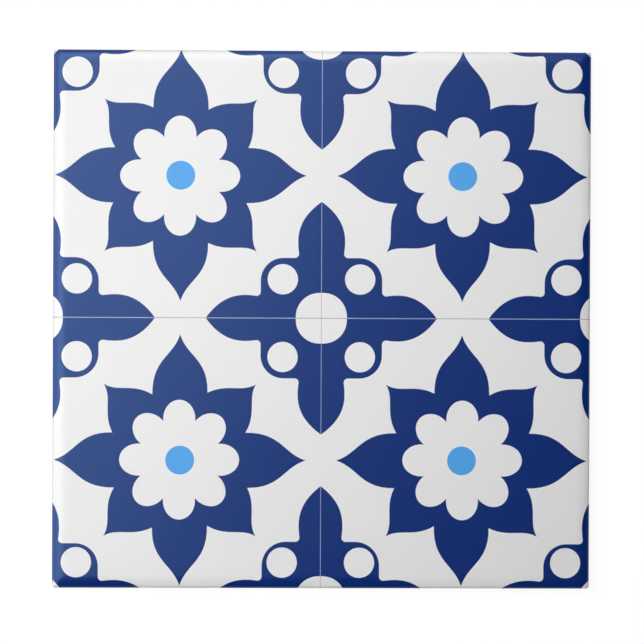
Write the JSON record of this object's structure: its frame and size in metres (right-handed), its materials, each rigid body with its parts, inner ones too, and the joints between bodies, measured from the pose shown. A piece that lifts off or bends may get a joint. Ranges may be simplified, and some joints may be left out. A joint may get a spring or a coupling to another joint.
{
  "type": "decorative tile",
  "caption": "Square glazed ceramic wall tile with a rolled cushion edge, a blue and white printed flower-and-cross pattern, and a keyed back for adhesive.",
  "frame": {"origin": "centre of the back, on the plane that the tile lies on", "axes": "+Z out of the glazed face, +X and +Y square to the tile's sides"},
  "size_m": [0.108, 0.108, 0.0063],
  "materials": {
    "glaze": "semi-gloss white glaze with a cobalt blue print, over a bare pressed clay body"
  },
  "bodies": {
    "root": {"tile": "glaze"}
  },
  "joints": []
}
